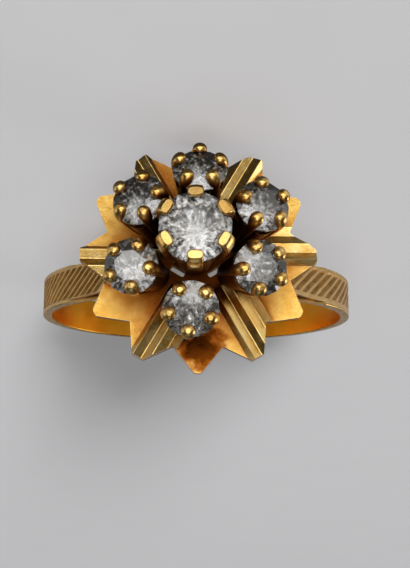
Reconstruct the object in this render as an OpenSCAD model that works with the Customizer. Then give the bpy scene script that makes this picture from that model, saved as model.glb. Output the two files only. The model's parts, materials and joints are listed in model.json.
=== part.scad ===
// Gold cluster ring with a star-shaped head.
// A thin round band has an engraved strap on each shoulder, which leaves the band and climbs to the head.
// The straps carry a twelve-pointed star plate, with a pleat along every second point.
// Six five-clawed settings stand on the plate round a taller six-clawed one, each with a round brilliant.
// Every piece is drawn with the finger along Y and the head up, and the whole ring is then laid on its side,
// resting on one star point and on the edge of the band at the back, as it would by itself.

/* [Band] */
// Inside diameter, the finger's size
finger_d = 17; // [15:0.1:20]
// Thickness of the band
band_t = 0.5; // [0.4:0.05:0.8]
// Width of the band along the finger
band_w = 2.05; // [1.9:0.05:2.6]
// Thickness of the band under the head, between the straps
under_t = 0.28; // [0.26:0.01:0.32]
// Bevel on the band's four edges
band_bevel = 0.06; // [0.02:0.01:0.1]

/* [Shoulder straps] */
// Angle from the top of the band at which each strap leaves it
strap_angle = 52; // [49:1:55]
// Thickness of a strap
strap_t = 0.26; // [0.24:0.01:0.3]
// Width of a strap
strap_w = 1.74; // [1.5:0.02:1.8]
// Length of the engraved stretch of each shoulder
groove_run = 9.6; // [7:0.1:10]
// Distance from one groove to the next on the left shoulder
left_pitch = 0.6; // [0.5:0.01:0.8]
// Distance from one groove to the next on the right shoulder
right_pitch = 0.77; // [0.5:0.01:0.8]
// Depth of a groove
groove_depth = 0.1; // [0.05:0.01:0.12]
// Slant of the grooves across the strap
groove_slant = 55; // [40:1:60]
// Plain margin between the grooves' ends and the strap's edges
groove_margin = 0.1; // [0.05:0.05:0.4]

/* [Star plate] */
// Height of the plate's face above the outside of the band
plate_rise = 1.5; // [1.3:0.1:2.5]
// Thickness of the plate
plate_t = 0.3; // [0.25:0.05:0.5]
// Reach of the points from the middle
star_tip_r = 5.85; // [5.2:0.05:6.5]
// Reach of the notches between the points
star_notch_r = 4.7; // [4.2:0.05:5]
// Lean of the whole head towards one side of the band
head_lean = 3; // [0:0.5:5]

/* [Settings] */
// Diameter of the middle stone
centre_d = 3.35; // [3:0.05:3.5]
// Diameter of the outer stones
outer_d = 2.6; // [2.2:0.05:2.7]
// Height of the middle stone's girdle above the plate
centre_rise = 4.9; // [4.5:0.1:5.5]
// Height of the outer stones' girdles above the plate
outer_rise = 3.65; // [3.2:0.05:4]
// Distance of the outer stones from the middle
cluster_r = 3.3; // [3.25:0.01:3.6]
// Outward tilt of the outer stones
outer_tilt = 18; // [14:1:20]
// Share of the small shifts that setting by hand gave the stones; 0 makes a regular ring
hand_made = 1; // [0:0.25:1]
// Gap left between a stone and the metal
stone_gap = 0.03; // [0.02:0.01:0.06]

/* [Hidden] */
OUTER = [1:6];
$fn = 48;

gold = [0.83, 0.62, 0.26];
stone_grey = [0.80, 0.81, 0.82];

inner_r = finger_d / 2;
ring_r = inner_r + band_t;
plate_z = ring_r + plate_rise;

// A strap's face lies a little inside the band's tangent, so that the two meet along a clean line
strap_sink = 0.03;
strap_face = ring_r - strap_sink;
// Where the band's outer half ends under a strap, as an angle past the point where the strap leaves it
thin_from = 2;
// Length of the engraving that is on the strap itself, and the width of a groove as a share of the pitch
groove_lead = 4.2;
groove_share = 0.84;

// Openings that let light to the stones: a slot in the band under the head, and slots beside the middle cup
band_slot = [2.8, 1.3];
plate_slot = [0.75, 0.26];
plate_slot_at = [0.92, 0.79];
plate_slot_turn = 31;

// The two kinds of star points end in short edges: the plain ones narrow, the pleated ones wider
points = 12;
plain_end = 0.34;
pleated_end = 0.62;
notch_turn = 180 / points;

// Radius of each cup's foot, and how far the tilted outer cups are drawn on below the plate's face
centre_foot_r = 0.95;
outer_foot_r = 0.62;
outer_run_on = 0.6;

// Settings, as [stone radius, claws, radius of the foot, height from foot to girdle]
centre_set = [centre_d / 2, 6, centre_foot_r, centre_rise + plate_t / 2];
outer_set = [outer_d / 2, 5, outer_foot_r, outer_rise / cos(outer_tilt) + outer_run_on];

// The cup's lip under the girdle: how far down, and how far in from the stone's edge
lip_drop = 0.28;
lip_inset = 0.08;
cup_wall = 0.2;

// Where the hand-set stones stand: the middle one's shift, and each outer one's [turn, distance, tilt]
centre_shift = -0.2;
outer_shift = [[-4, -0.05, 0], [0, -0.15, 7], [-1, -0.05, 0], [-4, 0.15, -2], [-6, 0.2, -5], [1, -0.1, 2]];

// The claw of the middle setting: its highest corner, measured in from the girdle's edge and up
claw_crest = [0.06, 0.77];

// Proportions of a round brilliant, as shares of its diameter; the table and star corners are on its radius
crown_share = 0.145;
table_share = 0.56;
star_share = 0.79;
girdle_share = 0.03;
pavilion_share = 0.43;

// The ring rests on the lower edge of the plain point at the head's low side, and on the band's edge opposite
tip_y = star_tip_r * cos(head_lean) + (plate_z - plate_t) * sin(head_lean);
tip_z = (plate_z - plate_t) * cos(head_lean) - star_tip_r * sin(head_lean);
back_y = band_w / 2;
back_z = band_bevel - ring_r;
rest_tilt = atan2(tip_y - back_y, tip_z - back_z);
rest_height = tip_y * cos(rest_tilt) - tip_z * sin(rest_tilt);

// How far the ring reaches before and behind the finger's middle once it lies down
reach_front = (centre_d / 2 - claw_crest[0]) * sin(rest_tilt - head_lean)
    + (plate_z + centre_rise + claw_crest[1]) * cos(rest_tilt - head_lean);
reach_back = ring_r * cos(rest_tilt) + (band_w / 2 - band_bevel) * sin(rest_tilt);

function polar(r, a) = [r * cos(a), r * sin(a)];
function turned(p, a) = [p[0] * cos(a) - p[1] * sin(a), p[0] * sin(a) + p[1] * cos(a)];

// Height of a brilliant's star corners, which lie in the planes of the crown's eight main facets
function star_height(d) =
    let (low = girdle_share / 2, rise = crown_share - low, run = (1 - table_share) / 2)
    d * (low + rise * (1 - star_share * cos(22.5)) / 2 / run);

// Outline of the star: each point's short end edge, then the notch after it
function star_point(k) =
    let (half = (k % 2 == 0 ? pleated_end : plain_end) / 2, a = 2 * notch_turn * k)
    [turned([star_tip_r, -half], a), turned([star_tip_r, half], a), polar(star_notch_r, a + notch_turn)];
star_outline = [for (k = [0:points - 1]) each star_point(k)];

// Section across a pleat, as [distance across, height above the plate]: a steep face, then three ridges
pleat_low = -0.15;
pleat_section = [
    [-0.46, pleat_low], [-0.46, 0.02], [-0.22, 0.40], [0.20, 0.12], [0.60, 0.34],
    [1.05, 0.04], [1.48, 0.24], [1.48, pleat_low]
];
pleat_from = 1.9;

module lay_on_side() {
    translate([0, (reach_front - reach_back) / 2, rest_height])
        rotate([rest_tilt - 90, 0, 180])
            children();
}

module lean_head() {
    rotate([-head_lean, 0, 0])
        translate([0, 0, plate_z])
            children();
}

// Places what stands at the middle stone's girdle
module at_centre() {
    translate([hand_made * centre_shift, 0, centre_rise])
        rotate([0, 0, 30])
            children();
}

// Places what stands at an outer stone's girdle, tilted outwards, with +X pointing away from the middle
module at_outer(i) {
    shift = hand_made * outer_shift[i - 1];
    rotate([0, 0, 60 * i - 30 + shift[0]])
        translate([cluster_r + shift[1], 0, outer_rise])
            rotate([0, outer_tilt + shift[2], 0])
                children();
}

// The band; between the straps its outer half is left out, and a slot lets light through
module band() {
    cut_angle = strap_angle - thin_from;
    cut_r = 2 * ring_r;
    color(gold)
        rotate([90, 0, 0])
            difference() {
                rotate_extrude($fn = 180)
                    polygon([
                        [inner_r, band_bevel - band_w / 2], [inner_r + band_bevel, -band_w / 2],
                        [ring_r - band_bevel, -band_w / 2], [ring_r, band_bevel - band_w / 2],
                        [ring_r, band_w / 2 - band_bevel], [ring_r - band_bevel, band_w / 2],
                        [inner_r + band_bevel, band_w / 2], [inner_r, band_w / 2 - band_bevel]
                    ]);
                difference() {
                    linear_extrude(2 * band_w, center = true)
                        polygon([
                            [0, 0], [cut_r * sin(cut_angle), cut_r * cos(cut_angle)],
                            [-cut_r * sin(cut_angle), cut_r * cos(cut_angle)]
                        ]);
                    cylinder(h = 3 * band_w, r = inner_r + under_t, center = true, $fn = 180);
                }
                translate([0, inner_r, 0])
                    cube([band_slot[0], 3, band_slot[1]], center = true);
            }
}

// A flat strap from the band to the underside of the plate; side is 1 or -1
module shoulder_strap(side) {
    run = (plate_z - plate_t / 2 - strap_face * cos(strap_angle)) / sin(strap_angle);
    color(gold)
        rotate([0, side * strap_angle, 0])
            rotate([90, 0, 0])
                linear_extrude(strap_w, center = true)
                    polygon([
                        [side * 0.4, strap_face - strap_t], [side * 0.4, strap_face - 0.08],
                        [side * 0.1, strap_face], [-side * run, strap_face],
                        [-side * (run - strap_t / tan(strap_angle)), strap_face - strap_t]
                    ]);
}

// One V-shaped cutter, at a distance along the shoulder from where the strap leaves the band
module groove(side, along, width) {
    on_band = along > 0;
    turn = side * (strap_angle + (on_band ? along / ring_r * 180 / PI : 0));
    rotate([0, turn, 0])
        translate([on_band ? 0 : side * along, 0, on_band ? ring_r : strap_face])
            rotate([90, 0, -groove_slant])
                linear_extrude((strap_w - 2 * groove_margin) / cos(groove_slant), center = true)
                    polygon([[-width, groove_depth], [width, groove_depth], [0, -groove_depth]]);
}

module shoulder_grooves(side) {
    pitch = side > 0 ? right_pitch : left_pitch;
    for (k = [0:floor(groove_run / pitch) - 1])
        groove(side, (k + 0.5) * pitch - groove_lead, groove_share * pitch * cos(groove_slant));
}

module pleat(k) {
    color(gold)
        intersection() {
            rotate([0, 0, 4 * notch_turn * k])
                translate([pleat_from, 0, 0])
                    rotate([90, 0, 90])
                        linear_extrude(star_tip_r)
                            polygon(pleat_section);
            translate([0, 0, pleat_low])
                linear_extrude(1)
                    polygon(star_outline);
        }
}

module star_plate() {
    color(gold)
        translate([0, 0, -plate_t])
            linear_extrude(plate_t)
                polygon(star_outline);
    for (k = [0:points / 2 - 1])
        pleat(k);
}

// A tapered cup, drawn from the stone's girdle, with a scallop in its lip between each two claws
module cup(set) {
    lip_r = set[0] - lip_inset;
    claws = set[1];
    color(gold)
        difference() {
            translate([0, 0, -set[3]])
                cylinder(h = set[3] - lip_drop, r1 = set[2], r2 = lip_r);
            for (i = [0:claws - 1])
                rotate([0, 0, 360 * (i + 0.5) / claws])
                    translate([0.6 * lip_r, 0, -lip_drop])
                        rotate([0, 90, 0])
                            cylinder(h = lip_r, r = 0.6 * lip_r * sin(180 / claws));
        }
}

// The hollow of a cup, which runs on below its foot and leaves a light hole in the plate
module cup_hollow(set) {
    lip_r = set[0] - lip_inset;
    run_on = 1;
    slope = (lip_r - set[2]) / (set[3] - lip_drop);
    translate([0, 0, -set[3] - run_on])
        cylinder(
            h = set[3] + run_on - lip_drop + 0.05,
            r1 = set[2] - cup_wall - slope * run_on,
            r2 = lip_r - cup_wall + slope * 0.05
        );
}

// Slots through the plate on both sides of the middle cup
module plate_slots() {
    translate([hand_made * centre_shift / 2, 0, -plate_t / 2])
        for (x = [-1, 1])
            for (y = [-1, 1])
                translate([x * plate_slot_at[0], y * plate_slot_at[1], 0])
                    rotate([0, 0, -x * y * plate_slot_turn])
                        cube([plate_slot[0], plate_slot[1], 2 * plate_t], center = true);
}

// A square claw of the middle setting: a flat bar that grows out of the cup and is bent over the stone's edge
module square_claw(set) {
    r = set[0];
    width = 0.72;
    rotate([90, 0, 0])
        linear_extrude(width, center = true)
            polygon([
                [set[2] + 0.17, 1.85 - set[3]], [r + 0.24, -0.2], [r + 0.25, 0.36], [r + 0.12, 0.65],
                [r - claw_crest[0], claw_crest[1]], [r - 0.34, 0.74], [r - 0.46, 0.56], [r - 0.42, 0.3],
                [r - 0.2, 0.1], [r - 0.2, -0.5]
            ]);
}

// A round bar between two points in the XZ plane
module bar(from, to, r1, r2) {
    run = to - from;
    translate([from[0], 0, from[1]])
        rotate([0, atan2(run[0], run[1]), 0])
            cylinder(h = norm(run), r1 = r1, r2 = r2);
}

// A round claw of an outer setting: a tapered stem up the cup, an elbow and a bead over the stone's edge
module round_claw(set) {
    r = set[0];
    stem = [set[2] + 0.28, 2.1 - set[3]];
    elbow = [r - 0.1, 0.1];
    bead = [r - 0.34, 0.46];
    bar(stem, elbow, 0.11, 0.25);
    bar(elbow, bead, 0.255, 0.28);
    translate([elbow[0], 0, elbow[1]])
        sphere(r = 0.295, $fn = 24);
    translate([bead[0], 0, bead[1]])
        sphere(r = 0.335, $fn = 24);
}

module centre_setting() {
    color(gold)
        at_centre() {
            cup(centre_set);
            for (i = [0:centre_set[1] - 1])
                rotate([0, 0, 360 * i / centre_set[1]])
                    square_claw(centre_set);
        }
}

// The tilted feet of the outer settings are cut off level inside the plate
module outer_settings() {
    color(gold)
        difference() {
            for (i = OUTER)
                at_outer(i) {
                    cup(outer_set);
                    for (k = [0:outer_set[1] - 1])
                        rotate([0, 0, 360 * k / outer_set[1]])
                            round_claw(outer_set);
                }
            translate([0, 0, -1 - plate_t / 2])
                cube([3 * cluster_r, 3 * cluster_r, 2], center = true);
        }
}

// The room that a stone takes, with the gap all round
module stone_seat(d) {
    r = d / 2 + stone_gap;
    girdle_z = girdle_share * d / 2 + stone_gap;
    table_z = crown_share * d + stone_gap;
    rotate_extrude()
        polygon([
            [0, -pavilion_share * d - 2 * stone_gap], [r, -girdle_z], [r, girdle_z],
            [star_share * d / 2 + stone_gap, star_height(d) + stone_gap],
            [table_share * d / 2 + stone_gap, table_z], [0, table_z]
        ]);
}

// Every soldered gold part in one
module gold_mount() {
    color(gold)
        lay_on_side()
            difference() {
                union() {
                    band();
                    for (side = [-1, 1])
                        shoulder_strap(side);
                    lean_head() {
                        difference() {
                            star_plate();
                            plate_slots();
                        }
                        centre_setting();
                        outer_settings();
                    }
                }
                for (side = [-1, 1])
                    shoulder_grooves(side);
                lean_head() {
                    at_centre() {
                        cup_hollow(centre_set);
                        stone_seat(centre_d);
                    }
                    for (i = OUTER)
                        at_outer(i) {
                            cup_hollow(outer_set);
                            stone_seat(outer_d);
                        }
                }
            }
}

// One corner ring of a brilliant: eight corners at a radius and height
function corners(r, z, turn, n = 8) = [
    for (i = [0:n - 1])
        [r * cos(360 * i / n + turn), r * sin(360 * i / n + turn), z]
];

// A round brilliant about its girdle: table, star, kite and girdle facets above, long and short facets below
module brilliant(d) {
    r = d / 2;
    half_girdle = girdle_share * d / 2;
    table_r = table_share * r;
    table_z = crown_share * d;
    lower_r = 0.22 * r;
    lower_z = -half_girdle - (pavilion_share * d - half_girdle) * (1 - lower_r * cos(22.5) / r);
    vertices = concat(
        corners(table_r, table_z, 0),
        corners(star_share * r, star_height(d), 22.5),
        corners(r, half_girdle, 0, 16),
        corners(r, -half_girdle, 0, 16),
        corners(lower_r, lower_z, 22.5),
        [[0, 0, -pavilion_share * d]]
    );
    star = 8;
    upper = 16;
    lower = 32;
    short = 48;
    culet = 56;
    color(stone_grey)
        polyhedron(vertices, concat(
            [[for (i = [7:-1:0]) i]],
            [for (i = [0:7]) [i, (i + 1) % 8, star + i]],
            [for (i = [0:7]) [i, star + i, upper + 2 * i, star + (i + 7) % 8]],
            [for (i = [0:7]) [star + i, upper + 2 * i + 1, upper + 2 * i]],
            [for (i = [0:7]) [star + i, upper + (2 * i + 2) % 16, upper + 2 * i + 1]],
            [for (i = [0:15]) [upper + i, upper + (i + 1) % 16, lower + (i + 1) % 16, lower + i]],
            [for (i = [0:7]) [lower + 2 * i, lower + 2 * i + 1, short + i]],
            [for (i = [0:7]) [lower + 2 * i + 1, lower + (2 * i + 2) % 16, short + i]],
            [for (i = [0:7]) [lower + 2 * i, short + i, culet, short + (i + 7) % 8]]
        ));
}

module centre_stone() {
    lay_on_side()
        lean_head()
            at_centre()
                brilliant(centre_d);
}

module outer_stone(i) {
    lay_on_side()
        lean_head()
            at_outer(i)
                brilliant(outer_d);
}

gold_mount();
centre_stone();
for (i = OUTER)
    outer_stone(i);
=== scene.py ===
import json
from math import atan2, cos, pi, radians, sin, tan

import bmesh
import bpy
from mathutils import Matrix, Vector


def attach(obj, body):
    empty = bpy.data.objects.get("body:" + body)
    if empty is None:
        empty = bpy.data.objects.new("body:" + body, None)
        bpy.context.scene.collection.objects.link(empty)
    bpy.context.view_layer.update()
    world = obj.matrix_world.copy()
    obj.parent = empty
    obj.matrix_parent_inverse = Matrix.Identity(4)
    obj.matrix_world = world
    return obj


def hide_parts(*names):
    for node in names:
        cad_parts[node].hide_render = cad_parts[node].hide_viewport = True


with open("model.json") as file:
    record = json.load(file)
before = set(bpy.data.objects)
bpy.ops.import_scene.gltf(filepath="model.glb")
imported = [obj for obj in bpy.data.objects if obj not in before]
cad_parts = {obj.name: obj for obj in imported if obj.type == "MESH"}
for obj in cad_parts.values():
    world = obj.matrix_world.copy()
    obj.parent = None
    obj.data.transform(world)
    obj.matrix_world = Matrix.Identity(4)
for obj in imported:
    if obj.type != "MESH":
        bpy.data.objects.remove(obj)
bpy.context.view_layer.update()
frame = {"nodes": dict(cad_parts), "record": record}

bore = next(m for m in frame["record"]["mounts"] if m["name"] == "finger_bore")
restTilt = atan2(bore["axis"][1], bore["axis"][2])
layDown = (
    Matrix.Translation(Vector(bore["pos_m"]))
    @ Matrix.Rotation(pi, 4, "Z")
    @ Matrix.Rotation(restTilt - pi / 2, 4, "X")
    @ Matrix.Scale(0.001, 4)
)

head = {
    "lean": radians(3),
    "height": 10.5,        # face of the star plate above the middle of the finger hole
    "buried": 0.15,        # feet and straps end this far below that face
}
leanHead = Matrix.Rotation(-head["lean"], 4, "X") @ Matrix.Translation((0, 0, head["height"]))


# Allowances in millimetres: places that count as one, points that become one, points on a cutting plane
near = 0.01
merged = 0.0005
onPlane = 0.0001
keptSharp = 32             # degrees from which an edge stays sharp in the shading


# Tools for working in edit mode
def clearSelection():
    if bpy.context.object and bpy.context.object.mode != "OBJECT":
        bpy.ops.object.mode_set(mode="OBJECT")
    bpy.ops.object.select_all(action="DESELECT")


def pickOnly(piece):
    clearSelection()
    piece.select_set(True)
    bpy.context.view_layer.objects.active = piece


def startPiece(name):
    piece = bpy.context.active_object
    piece.name = name
    bpy.ops.object.transform_apply(location=True, rotation=True, scale=True)
    bpy.ops.object.mode_set(mode="EDIT")
    return piece


def selectWhere(kind, test):
    bpy.ops.mesh.select_mode(type={"verts": "VERT", "edges": "EDGE", "faces": "FACE"}[kind])
    bpy.ops.mesh.select_all(action="DESELECT")
    mesh = bmesh.from_edit_mesh(bpy.context.edit_object.data)
    for element in getattr(mesh, kind):
        if test(element):
            element.select_set(True)
    mesh.select_flush_mode()
    bmesh.update_edit_mesh(bpy.context.edit_object.data)


def moveBy(x, y, z):
    bpy.ops.transform.translate(value=(x, y, z))


def extrudeBy(x, y, z):
    bpy.ops.mesh.extrude_region_move(TRANSFORM_OT_translate={"value": (x, y, z)})


def resizeAbout(x, y, z, centre):
    bpy.ops.transform.resize(value=(x, y, z), center_override=centre)


def closePiece():
    bpy.ops.mesh.select_all(action="SELECT")
    bpy.ops.mesh.remove_doubles(threshold=merged)
    bpy.ops.mesh.normals_make_consistent(inside=False)
    bpy.ops.object.mode_set(mode="OBJECT")


def applyModifier(piece, kind, **settings):
    pickOnly(piece)
    modifier = piece.modifiers.new("step", kind)
    for key, value in settings.items():
        setattr(modifier, key, value)
    bpy.ops.object.modifier_apply(modifier=modifier.name)


def roundEdges(piece, width, angle):
    applyModifier(
        piece, "BEVEL", width=width, segments=2, limit_method="ANGLE",
        angle_limit=radians(angle), miter_outer="MITER_ARC", use_clamp_overlap=True,
    )


def combine(piece, other, operation="DIFFERENCE", keep=False):
    applyModifier(piece, "BOOLEAN", object=other, operation=operation, solver="EXACT")
    if not keep:
        bpy.data.objects.remove(other)


def copyOf(piece, name, matrix):
    copy = piece.copy()
    copy.data = piece.data.copy()
    copy.name = name
    bpy.context.scene.collection.objects.link(copy)
    place(copy, matrix)
    return copy


def place(piece, matrix):
    pickOnly(piece)
    piece.matrix_world = matrix @ piece.matrix_world
    bpy.ops.object.transform_apply(location=True, rotation=True, scale=True)


def joinAll(pieces, name):
    pickOnly(pieces[0])
    for piece in pieces[1:]:
        piece.select_set(True)
    bpy.ops.object.join()
    pieces[0].name = name
    return pieces[0]


def smooth(piece):
    # large faces keep their own direction, and the shading turns on the rounded edges
    pickOnly(piece)
    bpy.ops.object.shade_smooth_by_angle(angle=radians(keptSharp))
    applyModifier(piece, "WEIGHTED_NORMAL", keep_sharp=True, weight=100)


def cutFlat(piece, point, normal):
    # what lies beyond the plane on its normal's side goes, and the cut is closed
    pickOnly(piece)
    bpy.ops.object.mode_set(mode="EDIT")
    bpy.ops.mesh.select_all(action="SELECT")
    bpy.ops.mesh.bisect(plane_co=point, plane_no=normal, use_fill=True, clear_outer=True, threshold=onPlane)
    closePiece()


# The round band, which is thinner between the straps and has a light slot under the head
band = {
    "innerRadius": 8.5,
    "thickness": 0.5,
    "width": 2.05,
    "edgeRound": 0.06,
    "steps": 240,
    "underThickness": 0.28,
    "thinTo": radians(46),     # the outer half is left out this far on both sides of the top
    "thinSlope": 2.6,          # the thick part runs out over a slope
    "slot": [2.8, 1.3],
    "slotRound": 0.2,
    # the blocks that cut the band reach past it: their outer radius, width, height, and steps along it
    "cutRadius": 9.4,
    "cutWidth": 3,
    "cutHeight": 3,
    "cutSteps": 64,
}


def makeArcBlock(low, high, width, start, end, slope=0):
    # a block along the band between two radii and two angles from the top, wider outside by the slope
    middle = Vector(((low + high) / 2, 0, 0))
    clearSelection()
    bpy.ops.mesh.primitive_plane_add(size=1, location=middle)
    block = startPiece("arcBlock")
    resizeAbout(high - low, width, 1, middle)
    bpy.ops.mesh.spin(steps=band["cutSteps"], angle=end - start, center=(0, 0, 0), axis=(0, 1, 0))
    closePiece()
    place(block, Matrix.Rotation(end - pi / 2, 4, "Y"))
    bpy.ops.object.mode_set(mode="EDIT")
    for turn, side in ((start, -1), (end, 1)):
        edge = Vector((sin(turn), 0, cos(turn))) * high
        selectWhere("verts", lambda v: (Vector((v.co.x, 0, v.co.z)) - edge).length < near)
        outwards = Vector((cos(turn), 0, -sin(turn))) * side * slope
        moveBy(*outwards)
    closePiece()
    return block


def makeSlotBlock(size, height, corner, matrix):
    clearSelection()
    bpy.ops.mesh.primitive_cube_add(size=1)
    block = startPiece("slotBlock")
    resizeAbout(size[0], size[1], height, (0, 0, 0))
    selectWhere("edges", lambda e: abs(e.verts[0].co.z - e.verts[1].co.z) > height / 2)
    bpy.ops.mesh.bevel(offset=corner, segments=4, affect="EDGES")
    closePiece()
    place(block, matrix)
    return block


def makeBand():
    clearSelection()
    middle = (band["innerRadius"] + band["thickness"] / 2, 0, 0)
    bpy.ops.mesh.primitive_plane_add(size=1, location=middle)
    piece = startPiece("ringBand")
    resizeAbout(band["thickness"], band["width"], 1, middle)
    bpy.ops.mesh.bevel(offset=band["edgeRound"], segments=4, affect="VERTICES")
    bpy.ops.mesh.delete(type="ONLY_FACE")
    bpy.ops.mesh.select_all(action="SELECT")
    bpy.ops.mesh.spin(steps=band["steps"], angle=2 * pi, center=(0, 0, 0), axis=(0, 1, 0))
    closePiece()
    under = band["innerRadius"] + band["underThickness"]
    outside = band["cutRadius"]
    thinTo = band["thinTo"]
    combine(piece, makeArcBlock(under, outside, band["cutWidth"], -thinTo, thinTo, band["thinSlope"]))
    # the beds of the straps, which lie flush in the band
    roomAcross, roomAlong = shoulder["bedRoom"]
    bedLow = shoulder["faceRadius"] - shoulder["thickness"]
    bedStart = thinTo - shoulder["bedBefore"]
    bedEnd = shoulder["leaves"] + (shoulder["bandEnd"] + roomAlong) / shoulder["faceRadius"]
    for turn in (0, pi):
        bed = makeArcBlock(bedLow, outside, shoulder["width"] + roomAcross, bedStart, bedEnd)
        place(bed, Matrix.Rotation(turn, 4, "Z"))
        combine(piece, bed)
    slotPlace = Matrix.Translation((0, 0, band["innerRadius"]))
    combine(piece, makeSlotBlock(band["slot"], band["cutHeight"], band["slotRound"], slotPlace))
    # the inside, which mirrors little but gold, has a finish of its own, a deeper orange painted as the
    # reflection of gold in gold
    insideTo = band["innerRadius"] + band["edgeRound"] / 3
    for face in piece.data.polygons:
        if Vector((face.center.x, 0, face.center.z)).length < insideTo:
            face.material_index = 1
    return piece


# The engraved straps on the shoulders, each drawn straight along Z with its face towards -X, then bent
shoulder = {
    "faceRadius": 8.998,
    "leaves": radians(52),     # angle from the top of the band where the strap leaves it
    "thickness": 0.26,
    "width": 1.74,
    "onStrap": 4.2,            # engraved length of the straight part
    "slant": radians(55),
    "plainEnd": 3.9,           # ungrooved length under the head
    "bandEnd": 7.0,            # length of the part that lies in the band
    "squareSteps": 8,          # steps in which that end turns square
    "bedRoom": [0.004, 0.02],  # more width and length in the bed than in the strap
    "bedBefore": 0.1,          # the bed starts this angle inside the thin stretch
    "edgeRound": 0.028,
    "roundFrom": 14,           # degrees from which an edge is rounded
    # share of the depth at each row across a groove, and half the width where it is deepest
    "rowDepths": [0, 0, 0.8, 1, 1, 0.8, 0, 0],
    "deepHalf": 0.2,
}
# cut: a groove's share of the pitch; lowest: where its bottom is across the cut;
# margins and fades: plain width and sloping width, at the back edge and at the front edge
shoulderCuts = {
    "right": {"grooves": 12, "pitch": 0.77, "cut": 0.70, "lowest": 0.36, "depth": 0.13,
              "margins": (0.05, 0.2), "fades": (0.12, 0.3), "turn": 0},
    "left": {"grooves": 16, "pitch": 0.6, "cut": 0.84, "lowest": 0.34, "depth": 0.13,
             "margins": (0.04, 0.06), "fades": (0.1, 0.14), "turn": pi},
}


def makeShoulder(side):
    cuts = shoulderCuts[side]
    half = shoulder["width"] / 2
    pitch = cuts["pitch"]
    length = pitch * cuts["grooves"]
    start = -shoulder["onStrap"]
    slide = tan(shoulder["slant"])
    # four columns of faces for a groove, and a strip of faces between each two rows across
    strips = len(shoulder["rowDepths"]) - 1
    clearSelection()
    bpy.ops.mesh.primitive_grid_add(
        x_subdivisions=4 * cuts["grooves"], y_subdivisions=strips, size=1,
        location=(0, 0, start + length / 2), rotation=(0, -pi / 2, 0),
    )
    piece = startPiece(side + "Shoulder")
    resizeAbout(1, shoulder["width"], length, (0, 0, start + length / 2))
    step = pitch / 4
    mesh = bmesh.from_edit_mesh(piece.data)
    columns = {v.index: round((v.co.z - start) / step) for v in mesh.verts}
    across = {v.index: round((v.co.y + half) / (2 * half / strips)) for v in mesh.verts}
    last = max(columns.values())
    # the grooves: their edges move to their width, and the column between goes down
    low = (1 - cuts["cut"]) / 2
    targets = {1: low, 2: low + cuts["cut"] * cuts["lowest"], 3: 1 - low}
    for phase, share in targets.items():
        selectWhere("verts", lambda v: columns[v.index] % 4 == phase)
        moveBy(0, 0, (share - phase / 4) * pitch)
    back, front = cuts["margins"]
    backFade, frontFade = cuts["fades"]
    deep = shoulder["deepHalf"]
    rows = [
        -half, front - half, front + frontFade - half, -deep,
        deep, half - back - backFade, half - back, half,
    ]
    for row, (y, share) in enumerate(zip(rows, shoulder["rowDepths"])):
        if share:
            selectWhere("verts", lambda v: across[v.index] == row and columns[v.index] % 4 == 2)
            moveBy(share * cuts["depth"], 0, 0)
        # each row goes to its place and slides along, which slants the grooves
        selectWhere("verts", lambda v: across[v.index] == row)
        moveBy(0, y - (row * 2 * half / strips - half), y * slide)
    # the end under the head is squared off far in; the end on the band turns square in steps
    selectWhere("verts", lambda v: columns.get(v.index) == 0)
    extrudeBy(0, 0, -shoulder["plainEnd"])
    resizeAbout(1, 1, 0, (0, 0, start - shoulder["plainEnd"]))
    selectWhere("verts", lambda v: columns.get(v.index) == last)
    end = start + length
    steps = shoulder["squareSteps"]
    for i in range(steps):
        advance = (shoulder["bandEnd"] - end) / (steps - i)
        extrudeBy(0, 0, advance)
        end += advance
        left = (steps - i - 1) / (steps - i)
        resizeAbout(1, 1, left, (0, 0, end))
    bpy.ops.mesh.select_all(action="SELECT")
    extrudeBy(shoulder["thickness"], 0, 0)
    resizeAbout(0, 1, 1, (shoulder["thickness"], 0, 0))
    closePiece()
    roundEdges(piece, shoulder["edgeRound"], shoulder["roundFrom"])
    # the grooves have a finish of their own, a darker gold painted as shade in the cuts
    grooveFrom = shoulder["edgeRound"] / 3
    grooveTo = shoulder["thickness"] / 2
    for face in piece.data.polygons:
        if face.normal.x < -0.5 and grooveFrom < face.center.x < grooveTo:
            face.material_index = 1
    # bend the part that lies on the band, and stand the strap where it leaves it
    lowEnd = min(v.co.z for v in piece.data.vertices)
    highEnd = max(v.co.z for v in piece.data.vertices)
    applyModifier(
        piece, "SIMPLE_DEFORM", deform_method="BEND", deform_axis="Y",
        angle=highEnd / shoulder["faceRadius"], limits=(-lowEnd / (highEnd - lowEnd), 1),
    )
    stand = Matrix.Rotation(pi / 2 + shoulder["leaves"], 4, "Y")
    place(piece, stand @ Matrix.Translation((-shoulder["faceRadius"], 0, 0)))
    cutFlat(piece, (0, 0, head["height"] - head["buried"]), (0, 0, 1))
    place(piece, Matrix.Rotation(cuts["turn"], 4, "Z"))
    return piece


# The star plate with its pleats
star = {
    "thickness": 0.3,
    "corners": 24,             # notches and points together, before the points are cut
    "notchRadius": 4.7,
    "plainTip": [6.063, 0.272],      # reach of the sharp point, and how much of it is cut off
    "pleatedTip": [6.298, 0.545],
    "cornerRound": 0.09,
    "edgeRound": 0.025,
    "roundFrom": 38,           # degrees from which an edge is rounded
    "pleats": 6,
    "pleatFrom": 1.9,
    "pleatLength": 4.4,
    "pleatFoot": -0.12,
    "pleatInset": 0.999,       # the pleats end at this share of the plate's outline
    "clipHeight": 1,
    # across a pleat, as [distance, height]
    "pleatSection": [[-0.46, 0.02], [-0.22, 0.40], [0.20, 0.12], [0.60, 0.34], [1.05, 0.04], [1.48, 0.24]],
    "ridgeRound": 0.035,
    "brightFrom": 0.01,        # what stands higher than this is cut bright
    # light slots beside the middle cup, in four places: size, place, turn
    "slot": [0.75, 0.26],
    "slotAt": [0.92, 0.79],
    "slotTurn": radians(31),
    "slotShift": -0.1,
    "slotRound": 0.08,
    "cutHeight": 2,
}


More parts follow.
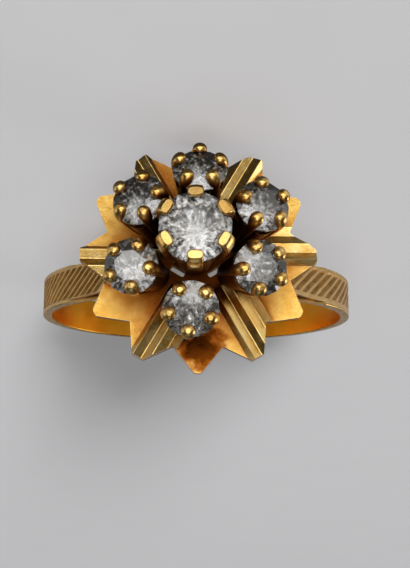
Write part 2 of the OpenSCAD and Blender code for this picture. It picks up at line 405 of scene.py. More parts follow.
def cornerNumber(vertex):
    # which corner of the plate's outline a vertex belongs to, counted anticlockwise from the right
    return round(atan2(vertex.co.y, vertex.co.x) / radians(360 / star["corners"])) % star["corners"]


def makeStarPrism(name, bottom, top, shrink=1):
    clearSelection()
    bpy.ops.mesh.primitive_circle_add(
        vertices=star["corners"], radius=star["notchRadius"], fill_type="NGON", location=(0, 0, bottom)
    )
    prism = startPiece(name)
    # every second corner goes out to a point, and the points are cut to short ends
    tips = {0: star["pleatedTip"], 2: star["plainTip"]}
    inside = star["notchRadius"] + near
    for phase, tip in tips.items():
        selectWhere("verts", lambda v: cornerNumber(v) % 4 == phase and v.co.xy.length < inside)
        share = tip[0] / star["notchRadius"]
        resizeAbout(share, share, 1, (0, 0, bottom))
    for reach, cutOff in tips.values():
        selectWhere("verts", lambda v: abs(v.co.xy.length - reach) < near)
        bpy.ops.mesh.bevel(offset=cutOff, segments=1, affect="VERTICES")
    bpy.ops.mesh.select_all(action="SELECT")
    resizeAbout(shrink, shrink, 1, (0, 0, bottom))
    extrudeBy(0, 0, top - bottom)
    closePiece()
    return prism


def makePleat():
    section = star["pleatSection"]
    across = section[-1][0] - section[0][0]
    middle = (star["pleatFrom"] + star["pleatLength"] / 2, (section[0][0] + section[-1][0]) / 2, 0)
    facets = len(section) - 1
    clearSelection()
    bpy.ops.mesh.primitive_grid_add(x_subdivisions=1, y_subdivisions=facets, size=1, location=middle)
    pleat = startPiece("pleat")
    resizeAbout(star["pleatLength"], across, 1, middle)
    evenStep = across / facets
    rows = [section[0][0] + evenStep * i for i in range(len(section))]
    picked = [
        {v.index for v in bmesh.from_edit_mesh(pleat.data).verts if abs(v.co.y - row) < evenStep / 3}
        for row in rows
    ]
    for row, indices, (y, z) in zip(rows, picked, section):
        selectWhere("verts", lambda v: v.index in indices)
        moveBy(0, y - row, z)
    selectWhere("edges", lambda e: len(e.link_faces) == 2 and abs(e.verts[0].co.y - e.verts[1].co.y) < near)
    bpy.ops.mesh.bevel(offset=star["ridgeRound"], segments=2, affect="EDGES")
    bpy.ops.mesh.select_all(action="SELECT")
    extrudeBy(0, 0, star["pleatFoot"])
    resizeAbout(1, 1, 0, (0, 0, star["pleatFoot"]))
    closePiece()
    clip = makeStarPrism("clip", -star["clipHeight"], star["clipHeight"], star["pleatInset"])
    combine(pleat, clip, "INTERSECT")
    return pleat


def makeStarPlate(holes):
    plate = makeStarPrism("starPlate", -star["thickness"], 0)
    pickOnly(plate)
    bpy.ops.object.mode_set(mode="EDIT")
    # the corners of the short plain ends, rounded a little
    tipFrom = (star["notchRadius"] + star["plainTip"][0]) / 2
    selectWhere("edges", lambda e: abs(e.verts[0].co.z - e.verts[1].co.z) > star["thickness"] / 2
                and e.verts[0].co.xy.length > tipFrom and cornerNumber(e.verts[0]) % 4 == 2)
    bpy.ops.mesh.bevel(offset=star["cornerRound"], segments=3, affect="EDGES")
    closePiece()
    pleat = makePleat()
    for i in range(star["pleats"]):
        turn = Matrix.Rotation(radians(360 / star["pleats"] * i), 4, "Z")
        combine(plate, copyOf(pleat, "turnedPleat", turn), "UNION")
    bpy.data.objects.remove(pleat)
    for x in (-1, 1):
        for y in (-1, 1):
            where = Matrix.Translation((star["slotShift"] + x * star["slotAt"][0], y * star["slotAt"][1], 0))
            turn = Matrix.Rotation(-x * y * star["slotTurn"], 4, "Z")
            holes.append(makeSlotBlock(star["slot"], star["cutHeight"], star["slotRound"], where @ turn))
    for hole in holes:
        combine(plate, hole)
    roundEdges(plate, star["edgeRound"], star["roundFrom"])
    # three finishes: the satin flats, the pleats cut bright, and the sides painted dark as shade
    for face in plate.data.polygons:
        if face.center.z > star["brightFrom"]:
            face.material_index = 1
        elif abs(face.normal.z) < 0.5:
            face.material_index = 2
    return plate


# The settings, drawn about the middle of the stone's girdle
centreSet = {
    "name": "centre",
    "stone": 3.35,
    "middle": (-0.2, 0, 4.9),  # of the girdle, above the plate
    "turn": radians(30),
    "claws": 6,
    "foot": 0.95,
    "height": 5.05,            # from foot to girdle
    "rimRound": 0.035,
    "section": "square",
    # along a claw, as [x, z, lean, half thickness, half width]
    "claw": [
        [1.16, -3.3, 14, 0.05, 0.16], [1.20, -3.1, 14, 0.08, 0.24], [1.36, -2.3, 14, 0.14, 0.32],
        [1.54, -1.3, 10, 0.19, 0.36], [1.66, -0.5, 4, 0.225, 0.37], [1.70, 0.12, -4, 0.24, 0.375],
        [1.65, 0.42, -35, 0.245, 0.38], [1.50, 0.60, -70, 0.24, 0.375], [1.34, 0.60, -100, 0.2, 0.35],
        [1.24, 0.52, -120, 0.12, 0.29],
    ],
    # the rubbed facets of a tip: a point in each, and its slope outwards in degrees
    "facets": [[(1.48, 0, 0.745), 3]],
    "facetRound": 0.06,
}
outerSet = {
    "name": "outer",
    "stone": 2.6,
    "girdle": 3.65,            # height above the plate
    "claws": 5,
    "foot": 0.62,
    "height": 4.438,
    "rimRound": 0.03,
    "section": "round",
    "claw": [
        [0.88, -2.45, 8, 0.05, 0.06], [0.90, -2.3, 8, 0.10, 0.11], [1.0, -1.5, 8, 0.16, 0.17],
        [1.11, -0.7, 7, 0.20, 0.215], [1.17, -0.15, 2, 0.235, 0.25], [1.17, 0.14, -25, 0.28, 0.295],
        [1.09, 0.385, -58, 0.325, 0.34], [0.97, 0.475, -88, 0.335, 0.35], [0.84, 0.44, -112, 0.285, 0.305],
        [0.76, 0.38, -130, 0.16, 0.18],
    ],
    "facets": [[(0.95, 0, 0.745), 8], [(1.27, 0, 0.63), 48]],
    "facetRound": 0.05,
}
# what the two kinds of setting have in common
cupForm = {
    "wall": 0.2,
    "lipDrop": 0.28,           # the lip is this far below the girdle and this far inside it
    "lipInset": 0.08,
    "steps": 96,
    "hollowPast": [0.5, 0.05],     # the hollow of a cup runs on past its foot and past its lip
    "holePast": 1,             # and the light hole in the plate past the foot
    "rimFrom": 35,             # degrees from which an edge is rounded, on a cup and on a claw
    "facetFrom": 16,
    # scallops in the lip: radius against half the way from claw to claw, distance against the lip's radius
    "scallop": [0.6, 1.12],
    "scallopSteps": 48,
    # a claw's section about a half width of 1: the square one's corners, the round one's sides and radius
    "squareRound": 0.5,
    "roundSides": 10,
    "roundRadius": 1.03,
}
# where the hand-set outer stones stand, as [turn, distance from the middle, tilt]
outerPlaces = [
    [26, 3.25, 18], [90, 3.15, 25], [149, 3.25, 18], [206, 3.45, 16], [264, 3.5, 13], [331, 3.2, 20],
]
stoneGap = 0.03
# a brilliant in shares of its diameter: half the girdle's height, the crown as [radius, height], the depth
brilliant = {
    "girdle": 0.015,
    "crown": [[0.395, 0.0925], [0.28, 0.145]],
    "depth": 0.43,
}


def drawClaw(setting):
    stations = setting["claw"]
    x, z, lean, thick, wide = stations[0]
    clearSelection()
    if setting["section"] == "square":
        bpy.ops.mesh.primitive_plane_add(size=2, location=(x, 0, z))
        claw = startPiece("claw")
        bpy.ops.mesh.bevel(offset=cupForm["squareRound"], segments=2, affect="VERTICES")
    else:
        bpy.ops.mesh.primitive_circle_add(
            vertices=cupForm["roundSides"], radius=cupForm["roundRadius"], fill_type="NGON",
            location=(x, 0, z),
        )
        claw = startPiece("claw")
    middle = Vector((x, 0, z))
    resizeAbout(thick, wide, 1, middle)
    bpy.ops.transform.rotate(value=-radians(lean), orient_axis="Y", center_override=middle)
    for newX, newZ, newLean, newThick, newWide in stations[1:]:
        step = Vector((newX, 0, newZ)) - middle
        middle = middle + step
        extrudeBy(*step)
        # turned back to level, resized, and turned to its own lean
        bpy.ops.transform.rotate(value=radians(lean), orient_axis="Y", center_override=middle)
        resizeAbout(newThick / thick, newWide / wide, 1, middle)
        bpy.ops.transform.rotate(value=-radians(newLean), orient_axis="Y", center_override=middle)
        lean, thick, wide = newLean, newThick, newWide
    closePiece()
    applyModifier(claw, "SUBSURF", levels=2, render_levels=2)
    for point, outwards in setting["facets"]:
        cutFlat(claw, point, Matrix.Rotation(radians(outwards), 3, "Y") @ Vector((0, 0, 1)))
    roundEdges(claw, setting["facetRound"], cupForm["facetFrom"])
    return claw


def makeSeat(setting):
    # the room for a brilliant, with the gap all round
    d = setting["stone"]
    girdle = brilliant["girdle"] * d + stoneGap
    radius = d / 2 + stoneGap
    outline = [(radius, girdle)]
    outline += [(wide * d + stoneGap, high * d + stoneGap) for wide, high in brilliant["crown"]]
    clearSelection()
    bpy.ops.mesh.primitive_circle_add(
        vertices=cupForm["steps"], radius=radius, fill_type="NGON", location=(0, 0, -girdle)
    )
    seat = startPiece("seat")
    low = -girdle
    for newRadius, height in outline:
        extrudeBy(0, 0, height - low)
        resizeAbout(newRadius / radius, newRadius / radius, 1, (0, 0, height))
        low, radius = height, newRadius
    # the point below, and the round face that this leaves inside
    selectWhere("verts", lambda v: abs(v.co.z + girdle) < near)
    extrudeBy(0, 0, girdle - brilliant["depth"] * d - 2 * stoneGap)
    bpy.ops.mesh.merge(type="CENTER")
    selectWhere("faces", lambda f: len(f.verts) > 4 and abs(f.calc_center_median().z + girdle) < near)
    bpy.ops.mesh.delete(type="ONLY_FACE")
    closePiece()
    return seat


def makeHollow(setting, runOn):
    # the tapered hollow of a cup, which runs on below the foot as the light hole
    lip = setting["stone"] / 2 - cupForm["lipInset"]
    slope = (lip - setting["foot"]) / (setting["height"] - cupForm["lipDrop"])
    bottom = setting["foot"] - cupForm["wall"] - slope * runOn
    depth = setting["height"] - cupForm["lipDrop"] + runOn + cupForm["hollowPast"][1]
    clearSelection()
    bpy.ops.mesh.primitive_cone_add(
        vertices=cupForm["steps"], radius1=bottom, radius2=bottom + slope * depth, depth=depth,
        location=(0, 0, -setting["height"] - runOn + depth / 2),
    )
    hollow = startPiece("hollow")
    closePiece()
    return hollow


def makeSetting(setting):
    lip = setting["stone"] / 2 - cupForm["lipInset"]
    top = -cupForm["lipDrop"]
    clearSelection()
    bpy.ops.mesh.primitive_cone_add(
        vertices=cupForm["steps"], radius1=setting["foot"], radius2=lip, depth=setting["height"] + top,
        location=(0, 0, (top - setting["height"]) / 2),
    )
    cup = startPiece("cup")
    closePiece()
    combine(cup, makeHollow(setting, cupForm["hollowPast"][0]))
    # a scallop in the lip between each two claws
    size, reach = cupForm["scallop"]
    clearSelection()
    bpy.ops.mesh.primitive_cylinder_add(
        vertices=cupForm["scallopSteps"], radius=size * lip * sin(pi / setting["claws"]), depth=lip,
        location=(reach * lip, 0, top), rotation=(0, pi / 2, 0),
    )
    scallop = startPiece("scallop")
    closePiece()
    for i in range(setting["claws"]):
        turn = Matrix.Rotation(2 * pi * (i + 0.5) / setting["claws"], 4, "Z")
        combine(cup, copyOf(scallop, "cutter", turn))
    bpy.data.objects.remove(scallop)
    seat = makeSeat(setting)
    combine(cup, seat, keep=True)
    roundEdges(cup, setting["rimRound"], cupForm["rimFrom"])
    claw = drawClaw(setting)
    combine(claw, seat)
    parts = [cup]
    for i in range(setting["claws"]):
        parts.append(copyOf(claw, "turnedClaw", Matrix.Rotation(2 * pi * i / setting["claws"], 4, "Z")))
    bpy.data.objects.remove(claw)
    return joinAll(parts, setting["name"] + "Setting")


print("band and shoulders")
golden = {
    "ringBand": makeBand(),
    "leftShoulder": makeShoulder("left"),
    "rightShoulder": makeShoulder("right"),
}

print("settings")
centrePlace = Matrix.Translation(centreSet["middle"]) @ Matrix.Rotation(centreSet["turn"], 4, "Z")
outerMatrices = [
    Matrix.Rotation(radians(turn), 4, "Z")
    @ Matrix.Translation((reach, 0, outerSet["girdle"]))
    @ Matrix.Rotation(radians(tilt), 4, "Y")
    for turn, reach, tilt in outerPlaces
]
centreHole = makeHollow(centreSet, cupForm["holePast"])
outerHole = makeHollow(outerSet, cupForm["holePast"])
holes = [copyOf(centreHole, "hole", centrePlace)] + [copyOf(outerHole, "hole", m) for m in outerMatrices]
bpy.data.objects.remove(centreHole)
bpy.data.objects.remove(outerHole)

centreSetting = makeSetting(centreSet)
place(centreSetting, centrePlace)
cutFlat(centreSetting, (0, 0, -head["buried"]), (0, 0, -1))
onHead = {"centreSetting": centreSetting}
outerMaster = makeSetting(outerSet)
for i, matrix in enumerate(outerMatrices):
    name = f"outerSetting_{i + 1}"
    onHead[name] = copyOf(outerMaster, name, matrix)
    cutFlat(onHead[name], (0, 0, -head["buried"]), (0, 0, -1))
bpy.data.objects.remove(outerMaster)

print("star plate")
onHead["starPlate"] = makeStarPlate(holes)
for name, piece in onHead.items():
    place(piece, leanHead)
    golden[name] = piece
for piece in golden.values():
    smooth(piece)
    place(piece, layDown)

print("materials")


class Nodes:
    # a small helper that adds shader nodes and links them as they are made
    def __init__(self, name):
        self.material = bpy.data.materials.new(name)
        self.material.use_nodes = True
        self.tree = self.material.node_tree
        self.shader = self.tree.nodes["Principled BSDF"]

    def add(self, kind, inputs=None, **settings):
        node = self.tree.nodes.new("ShaderNode" + kind)
        for key, value in settings.items():
            setattr(node, key, value)
        for key, value in (inputs or {}).items():
            self.set(node, key, value)
        return node

    def set(self, node, key, value):
        if hasattr(value, "is_output"):
            self.tree.links.new(value, node.inputs[key])
        else:
            node.inputs[key].default_value = value

    def millimetres(self):
        # the piece's own coordinates, in millimetres
        place = self.add("TexCoord").outputs["Object"]
        return self.add("VectorMath", {0: place, "Scale": 1000}, operation="SCALE").outputs[0]

    def noise(self, place, size, detail, roughness, stretch=None):
        if stretch:
            turned = {"Vector": place, "Rotation": stretch[0], "Scale": stretch[1]}
            place = self.add("Mapping", turned).outputs[0]
        inputs = {"Vector": place, "Scale": 1 / size, "Detail": detail, "Roughness": roughness}
        return self.add("TexNoise", inputs).outputs["Fac"]

    def ramp(self, value, stops):
        node = self.add("ValToRGB", {0: value})
        ramp = node.color_ramp
        while len(ramp.elements) < len(stops):
            ramp.elements.new(0.5)
        for element, (position, colour) in zip(ramp.elements, stops):
            element.position = position
            element.color = (*colour, 1)
        return node.outputs["Color"]

    def spread(self, value, low, high, toLow, toHigh):
        inputs = {0: value, 1: low, 2: high, 3: toLow, 4: toHigh}
        return self.add("MapRange", inputs, clamp=True).outputs[0]

    def unsteady(self, noise, amount):
        # a noise as a small shift to both sides of nothing
        return self.spread(noise, 0.3, 0.7, -amount, amount)

    def mixColour(self, share, first, second):
        return self.add("Mix", {0: share, 6: first, 7: second}, data_type="RGBA").outputs[2]

    def maths(self, operation, first, second):
        return self.add("Math", {0: first, 1: second}, operation=operation).outputs[0]

    def mixValue(self, share, first, second):
        rest = self.maths("MULTIPLY", first, 1 - share)
        return self.maths("ADD", rest, self.maths("MULTIPLY", second, share))

    def bump(self, height, strength, distance, normal=None):
        inputs = {"Height": height, "Strength": strength, "Distance": distance}
        if normal is not None:
            inputs["Normal"] = normal
        return self.add("Bump", inputs).outputs[0]


goldFinishes = {
    # pale and deep: the gold itself, in blotches; blotch and pits: sizes in millimetres;
    # smooth and dull: roughness where the blotches are deep and where they are pale;
    # shadeAndGrime: dirt and painted shade that darken the corners, at the bottom of a gap and at its mouth;
    # shadeAndGrimeReach: how far away, in millimetres, a wall still closes a corner;
    # shadeAndGrimeAt: how open a corner is where the painted shade and grime are full, and where they end
    "polishedGold": {
        "pale": (0.98, 0.66, 0.24), "deep": (0.84, 0.47, 0.11), "blotch": 0.9,
        "shadeAndGrime": [(0.02, 0.004, 0.001), (0.34, 0.085, 0.008)], "shadeAndGrimeReach": 3.0, "shadeAndGrimeAt": (0.36, 0.76),
        "smooth": 0.18, "dull": 0.32, "pits": 0.06, "pitDepth": 0.10, "scratchDepth": 0.10,
    },
    # the band's inside: a deeper orange, painted reflection of the gold around it
    "insideGold": {
        "pale": (1.0, 0.56, 0.05), "deep": (0.95, 0.40, 0.015), "blotch": 1.6,
        "shadeAndGrime": [(0.03, 0.007, 0.001), (0.42, 0.12, 0.005)], "shadeAndGrimeReach": 2.0, "shadeAndGrimeAt": (0.2, 0.55),
        "smooth": 0.12, "dull": 0.26, "pits": 0.06, "pitDepth": 0.10, "scratchDepth": 0.20,
    },
    "cutGold": {
        "pale": (1.0, 0.74, 0.30), "deep": (0.86, 0.50, 0.12), "blotch": 0.5,
        "shadeAndGrime": [(0.006, 0.002, 0.001), (0.14, 0.045, 0.006)], "shadeAndGrimeReach": 1.0, "shadeAndGrimeAt": (0.45, 0.84),
        "smooth": 0.10, "dull": 0.20, "pits": 0.05, "pitDepth": 0.10, "scratchDepth": 0.14,
    },
    # the plate's sides: a darker gold, painted shade
    "sideGold": {
        "pale": (0.50, 0.24, 0.05), "deep": (0.26, 0.11, 0.02), "blotch": 0.5,
        "shadeAndGrime": [(0.006, 0.002, 0.001), (0.10, 0.03, 0.005)], "shadeAndGrimeReach": 1.5, "shadeAndGrimeAt": (0.3, 0.8),
        "smooth": 0.26, "dull": 0.40, "pits": 0.06, "pitDepth": 0.2, "scratchDepth": 0.2,
    },
    "satinGold": {
        "pale": (0.99, 0.65, 0.18), "deep": (0.90, 0.50, 0.09), "blotch": 0.7,
        "shadeAndGrime": [(0.02, 0.005, 0.001), (0.40, 0.10, 0.008)], "shadeAndGrimeReach": 3.4, "shadeAndGrimeAt": (0.48, 0.90),
        "smooth": 0.20, "dull": 0.32, "pits": 0.05, "pitDepth": 0.5, "scratchDepth": 0.06,
    },
    # the grooves: a darker gold, painted shade
    "grooveGold": {
        "pale": (0.62, 0.33, 0.09), "deep": (0.34, 0.16, 0.03), "blotch": 0.5,
        "shadeAndGrime": [(0.02, 0.007, 0.002), (0.16, 0.06, 0.01)], "shadeAndGrimeReach": 0.6, "shadeAndGrimeAt": (0.3, 0.8),
        "smooth": 0.24, "dull": 0.38, "pits": 0.05, "pitDepth": 0.2, "scratchDepth": 0.2,
    },
    "tanGold": {
        "pale": (1.0, 0.68, 0.32), "deep": (0.78, 0.48, 0.17), "blotch": 0.7,
        "shadeAndGrime": [(0.02, 0.007, 0.002), (0.20, 0.08, 0.015)], "shadeAndGrimeReach": 0.8, "shadeAndGrimeAt": (0.3, 0.75),
        "smooth": 0.28, "dull": 0.44, "pits": 0.06, "pitDepth": 0.22, "scratchDepth": 0.22,
    },
}
# what all the finishes share
goldWear = {
    "blotchAt": [0.32, 0.68],
    "scratch": 0.12,           # size, then turn and stretch of the scratches
    "scratchLay": [(0.3, 0.9, 0.5), (1, 14, 14)],
    "scratchShare": 0.4,       # in the roughness, where the blotches have the rest
    "roughAt": [0.35, 0.65],
    "shadeAndGrimeUneven": 0.05,
    "shadeAndGrimeOpen": [0.12, 0.45],     # how open a corner is at the two colours of the painted shade and grime
    "grimeRough": 0.2,
    # edges rubbed smooth and painted pale as a highlight: width in metres, the cosines of their turn where it
    # starts and where it is full
    "edge": 0.00005,
    "edgeTurn": [0.99, 0.86],
    "edgeShare": 0.5,
    "edgeSmooth": 0.08,
    "edgeHighlightColour": (1.0, 0.80, 0.45, 1),
    "relief": 0.00004,         # height of pits and scratches in metres
}
# painted shade on the plate's lowest point in the picture, coloured as the shade and grime in the corners
tipShade = {
    "finish": "satinGold",
    "middle": (0.15, -4.75, 0),
    "reach": [0.6, 1.5],       # full to here, and gone from here
    "ragged": 0.4,
    "strength": 0.58,
}


def makeGold(name):
    finish = goldFinishes[name]
    kit = Nodes(name)
    place = kit.millimetres()
    blotches = kit.noise(place, finish["blotch"], 4, 0.6)
    fine = kit.noise(place, finish["pits"], 2, 0.5)
    scratches = kit.noise(place, goldWear["scratch"], 3, 0.6, goldWear["scratchLay"])
    deepEnd, paleEnd = goldWear["blotchAt"]
    colour = kit.ramp(blotches, [(deepEnd, finish["deep"]), (paleEnd, finish["pale"])])
    # dirt and painted shade in the corners, where little light gets in
    reach = finish["shadeAndGrimeReach"] * 0.001
    corner = kit.add("AmbientOcclusion", {"Distance": reach}, samples=8, only_local=False)
    openness = kit.maths("ADD", corner.outputs["AO"], kit.unsteady(blotches, goldWear["shadeAndGrimeUneven"]))
    # painted shade on the plate's lowest point, ragged at its edge
    if name == tipShade["finish"]:
        middle = layDown @ leanHead @ Vector(tipShade["middle"]) * 1000
        away = kit.add("VectorMath", {0: place, 1: middle}, operation="DISTANCE").outputs["Value"]
        away = kit.maths("ADD", away, kit.unsteady(blotches, tipShade["ragged"]))
        tipShadePatch = kit.spread(away, *tipShade["reach"], tipShade["strength"], 0)
        openness = kit.maths("SUBTRACT", openness, tipShadePatch)
    shadeAndDirt = kit.spread(openness, *finish["shadeAndGrimeAt"], 1, 0)
    shadeAndGrime = kit.ramp(openness, list(zip(goldWear["shadeAndGrimeOpen"], finish["shadeAndGrime"])))
    colour = kit.mixColour(shadeAndDirt, colour, shadeAndGrime)
    # edges rubbed smooth, and painted pale as a highlight
    rounded = kit.add("Bevel", {"Radius": goldWear["edge"]}, samples=6).outputs["Normal"]
    plain = kit.add("NewGeometry").outputs["Normal"]
    turned = kit.add("VectorMath", {0: rounded, 1: plain}, operation="DOT_PRODUCT").outputs["Value"]
    wornAndHighlit = kit.spread(turned, *goldWear["edgeTurn"], 0, goldWear["edgeShare"])
    colour = kit.mixColour(wornAndHighlit, colour, goldWear["edgeHighlightColour"])
    kit.set(kit.shader, "Base Color", colour)
    kit.shader.inputs["Metallic"].default_value = 1
    # rougher in the dirty, shaded corners and smoother where the edges are rubbed
    rough = kit.mixValue(goldWear["scratchShare"], blotches, scratches)
    rough = kit.spread(rough, *goldWear["roughAt"], finish["smooth"], finish["dull"])
    rough = kit.maths("ADD", rough, kit.maths("MULTIPLY", shadeAndDirt, goldWear["grimeRough"]))
    rough = kit.maths("SUBTRACT", rough, kit.maths("MULTIPLY", wornAndHighlit, goldWear["edgeSmooth"]))
    kit.set(kit.shader, "Roughness", rough)
    pitted = kit.bump(fine, finish["pitDepth"], goldWear["relief"])
    kit.set(kit.shader, "Normal", kit.bump(scratches, finish["scratchDepth"], goldWear["relief"], pitted))
    return kit.material


stoneFinish = {
    "tones": [(0.41, (0.04, 0.034, 0.026)), (0.48, (0.42, 0.41, 0.39)), (0.54, (1.0, 1.0, 1.0))],
    "streak": 0.24,            # size of the streaks' pattern, and how wide it goes round their point
    "spoke": 1.6,
    "ior": 2.15,
    "polished": 0.0,           # roughness where the clouds are thin, and where they are thick
    "smeared": 0.05,
    "smearAt": [0.45, 0.65],
    "relief": [0.25, 0.00003],     # strength of the streaks' relief, and its height in metres
    # the clouds' size, the streaks' share, the point that they run from, a painted glow about that point and
    # the glow's reach, and how dark the stone is, and how much painted shade darkens it towards its shaded
    # side
    "centre": {"milk": 0.13, "cloud": 0.5, "streaked": 0.72, "burst": (0, -0.45, 0),
               "paintedGlow": 0.09, "paintedGlowReach": 0.8, "shade": 0.035, "shadeSlope": 0.012},
    "outer": {"milk": 0.14, "cloud": 0.24, "streaked": 0.5, "burst": (-0.2, -0.5, 0),
              "paintedGlow": 0.12, "paintedGlowReach": 0.9, "shade": 0.065, "shadeSlope": 0.05},
}
# the side of each outer stone that is painted in shade, as it looks dark in the picture, in degrees from the
# right
shadedSides = [80, 90, 110, 130, -80, -10]


def makeStone(name, matrix, kind):
    look = stoneFinish[kind]
    kit = Nodes(name)
    # the stone's own place in millimetres, about the point that its streaks run from
    own = matrix @ Matrix.Translation(look["burst"])
    turn = {"Location": own.translation, "Rotation": own.to_euler(), "Scale": (0.001, 0.001, 0.001)}
    raw = kit.add("TexCoord").outputs["Object"]
    place = kit.add("Mapping", {"Vector": raw, **turn}, vector_type="TEXTURE").outputs[0]
    flat = kit.add("VectorMath", {0: place, 1: (1, 1, 0)}, operation="MULTIPLY").outputs[0]
    spoke = kit.add("VectorMath", {0: flat}, operation="NORMALIZE").outputs[0]
    spoke = kit.add("VectorMath", {0: spoke, "Scale": stoneFinish["spoke"]}, operation="SCALE").outputs[0]
    away = kit.add("VectorMath", {0: flat}, operation="LENGTH").outputs["Value"]
    ray = kit.add("VectorMath", {0: spoke, 1: kit.add("CombineXYZ", {"Z": away}).outputs[0]}, operation="ADD")
    streaks = kit.noise(ray.outputs[0], stoneFinish["streak"], 5, 0.65)
    clouds = kit.noise(place, look["cloud"], 5, 0.7)
    height = kit.add("SeparateXYZ", {0: place}).outputs["Y"]
    tone = kit.mixValue(look["streaked"], clouds, streaks)
    # painted shade: the stone grows darker with height, towards its shaded side
    tone = kit.maths("SUBTRACT", tone, kit.maths("MULTIPLY", height, look["shadeSlope"]))
    tone = kit.maths("SUBTRACT", tone, look["shade"])
    # a painted glow about the point that the streaks run from
    tone = kit.maths("ADD", tone, kit.spread(away, 0, look["paintedGlowReach"], look["paintedGlow"], 0))
    kit.set(kit.shader, "Base Color", kit.ramp(tone, stoneFinish["tones"]))
    kit.shader.inputs["IOR"].default_value = stoneFinish["ior"]
    kit.shader.inputs["Transmission Weight"].default_value = 1 - look["milk"]
    rough = kit.spread(clouds, *stoneFinish["smearAt"], stoneFinish["polished"], stoneFinish["smeared"])
    kit.set(kit.shader, "Roughness", rough)
    kit.set(kit.shader, "Normal", kit.bump(streaks, *stoneFinish["relief"]))
    return kit.material


materials = {name: makeGold(name) for name in goldFinishes}
finishOf = {
    "ringBand": ["polishedGold", "insideGold"],
    "starPlate": ["satinGold", "cutGold", "sideGold"],
    "leftShoulder": ["tanGold", "grooveGold"],
    "rightShoulder": ["tanGold", "grooveGold"],
}

for name, piece in golden.items():
    for finish in finishOf.get(name, ["polishedGold"]):
        piece.data.materials.append(materials[finish])
    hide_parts("gold_mount")
    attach(piece, "root")
frame["nodes"]["gold_mount"].data.materials.clear()
frame["nodes"]["gold_mount"].data.materials.append(materials["polishedGold"])
stones = {
    f"outer_stone_{i + 1}": ("outer", matrix, shadedSide)
    for i, (matrix, shadedSide) in enumerate(zip(outerMatrices, shadedSides))
}
stones["centre_stone"] = ("centre", centrePlace, 90)
for name, (kind, matrix, shadedSide) in stones.items():
    upright = Matrix.Translation(matrix.translation) @ Matrix.Rotation(radians(shadedSide - 90), 4, "Z")
    node = frame["nodes"][name]
    node.data.materials.clear()
    node.data.materials.append(makeStone(name + "Glass", layDown @ leanHead @ upright, kind))

print("floor, lights and camera")
studio = {
    "floorSize": 0.6,
    "floorColour": (0.66, 0.66, 0.675),
    "floorRough": 0.9,
    "floorGloss": 0.1,
    "mottle": 6,               # size of the floor's faint mottle in millimetres, and its darker shade
    "mottleShade": 0.985,
    "floorMirrored": (0.45, 0.45, 0.455, 1),
    # cards on the floor that only the gold mirrors: middle and radius in millimetres, shade
    "cards": {
        "far": [(0, -75, 0), 38, (1.0, 0.99, 0.97, 1)],
        "dark": [(4, -13, 0), 20, (0.05, 0.05, 0.05, 1)],
        "white": [(-15, -15, 0), 11, (1.0, 0.99, 0.97, 1)],
    },
    "cardCore": 0.4,           # a card is full within this share of its radius, and fades to its edge
    "roomColour": (0.98, 0.985, 1.0),
    "roomStrength": 0.13,
    "seen": 0.62,              # brightness of the room where the camera looks past the floor
    "mirrored": 0.04,          # brightness of the room in the gold's own reflections
    "refracted": 0.13,         # and in the stones
    # each light: place, what it points at, width and height, brightness of its face, colour
    "lights": {
        "frontStrip": [(0, -0.50, 0.10), (0, 0, 0.10), (0.80, 0.20), 2.6, (1.0, 0.99, 0.97)],
        "frontHigh": [(0, -0.42, 0.42), (0, 0, 0), (0.40, 0.34), 1.9, (1.0, 0.99, 0.97)],
        "rightFront": [(-0.39, -0.35, 0.17), (0, 0, 0), (0.18, 0.16), 0.75, (1.0, 0.98, 0.96)],
        "rightBack": [(-0.47, 0.21, 0.12), (0, 0, 0), (0.28, 0.22), 3.0, (1.0, 0.98, 0.96)],
        "left": [(0.52, 0.04, 0.12), (0, 0, 0), (0.32, 0.22), 0.9, (1.0, 0.99, 0.97)],
        "back": [(0.20, 0.52, 0.28), (0, 0, 0), (0.56, 0.40), 0.10, (0.97, 0.98, 1.0)],
        "top": [(0.04, 0.12, 0.64), (0, 0, 0), (0.32, 0.32), 0.4, (0.98, 0.99, 1.0)],
    },
    # the sun of this small room lights the floor alone, and casts the ring's shadow
    "sun": {"height": radians(11), "turn": radians(-9), "width": radians(16), "strength": 6.6},
}


def makeFloor():
    clearSelection()
    bpy.ops.mesh.primitive_plane_add(size=studio["floorSize"])
    floor = startPiece("floor")
    bpy.ops.mesh.subdivide(number_cuts=4)
    bpy.ops.object.mode_set(mode="OBJECT")
    kit = Nodes("paleFloor")
    place = kit.millimetres()
    mottle = kit.noise(place, studio["mottle"], 3, 0.5)
    base = studio["floorColour"]
    pale = kit.ramp(mottle, [(0.3, [c * studio["mottleShade"] for c in base]), (0.7, base)])
    # the gold mirrors a floor of its own tone, with the white and dark cards on it
    tone = studio["floorMirrored"]
    for middle, radius, shade in studio["cards"].values():
        away = kit.add("VectorMath", {0: place, 1: middle}, operation="DISTANCE").outputs["Value"]
        tone = kit.mixColour(kit.spread(away, radius, radius * studio["cardCore"], 0, 1), tone, shade)
    mirrored = kit.add("LightPath").outputs["Is Glossy Ray"]
    kit.set(kit.shader, "Base Color", kit.mixColour(mirrored, pale, tone))
    kit.shader.inputs["Roughness"].default_value = studio["floorRough"]
    kit.shader.inputs["Specular IOR Level"].default_value = studio["floorGloss"]
    floor.data.materials.append(kit.material)


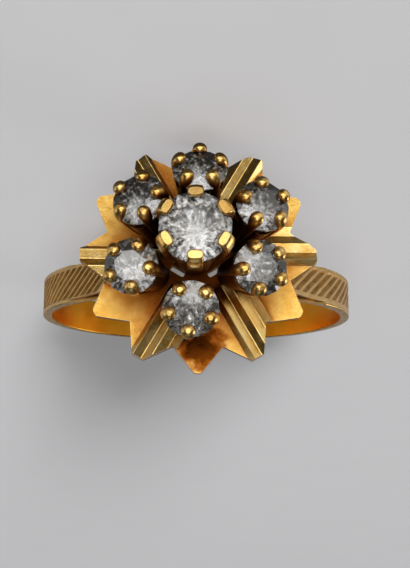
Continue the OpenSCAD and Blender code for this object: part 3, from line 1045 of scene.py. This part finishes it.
def makeRoom():
    # an even pale room, which the gold and the stones mirror only dimly, as in a tent with dark sides
    world = bpy.data.worlds.new("softRoom")
    world.use_nodes = True
    nodes = world.node_tree.nodes
    nodes["Background"].inputs[0].default_value = (*studio["roomColour"], 1)
    ray = nodes.new("ShaderNodeLightPath")
    level = nodes["Background"].inputs[1]
    levels = {"Is Camera Ray": "seen", "Is Glossy Ray": "mirrored", "Is Transmission Ray": "refracted"}
    for output, value in levels.items():
        mix = nodes.new("ShaderNodeMix")
        mix.inputs[2].default_value = studio["roomStrength"]
        mix.inputs[3].default_value = studio[value]
        if level.is_linked:
            world.node_tree.links.new(level.links[0].from_socket, mix.inputs[2])
        world.node_tree.links.new(ray.outputs[output], mix.inputs[0])
        world.node_tree.links.new(mix.outputs[0], level)
    bpy.context.scene.world = world


def makeLights():
    for name, (where, target, (width, height), brightness, colour) in studio["lights"].items():
        bpy.ops.object.light_add(type="AREA", location=where)
        lamp = bpy.context.active_object
        lamp.name = name + "Light"
        lamp.rotation_euler = (Vector(target) - Vector(where)).to_track_quat("-Z", "Y").to_euler()
        lamp.data.shape = "RECTANGLE"
        lamp.data.size = width
        lamp.data.size_y = height
        lamp.data.energy = brightness * pi * width * height
        lamp.data.color = colour
        lamp.visible_camera = False
    bpy.ops.object.light_add(type="SUN", location=(0, 0, 1))
    sun = bpy.context.active_object
    sun.rotation_euler = (pi / 2 - studio["sun"]["height"], 0, studio["sun"]["turn"])
    sun.data.angle = studio["sun"]["width"]
    sun.data.energy = studio["sun"]["strength"]
    sun.visible_glossy = False
    sun.visible_transmission = False


# the picture's view of the ring: turns about the ring's own axes, then the distance and shift in millimetres
view = {
    "yaw": radians(-1.0),
    "tilt": radians(10.9),
    "roll": radians(0.3),
    "distance": 60,
    "shift": [0.52, 1.14],
    "lens": 36 * 1005 / 568,   # focal length of 1005 picture points on 568
    "longSide": 36,
}


def makeCamera():
    turn = (
        Matrix.Rotation(view["yaw"], 4, "Y")
        @ Matrix.Rotation(view["tilt"], 4, "X")
        @ Matrix.Rotation(view["roll"], 4, "Z")
    )
    place = layDown @ turn @ Vector((*view["shift"], view["distance"]))
    bpy.ops.object.camera_add(location=place)
    camera = bpy.context.active_object
    camera.rotation_euler = (layDown @ turn).to_euler()
    camera.data.lens = view["lens"]
    camera.data.sensor_width = view["longSide"]
    camera.data.clip_start = 0.001
    camera.data.clip_end = 10
    bpy.context.scene.camera = camera


makeFloor()
makeRoom()
makeLights()
makeCamera()
bpy.context.scene.view_settings.view_transform = "Standard"
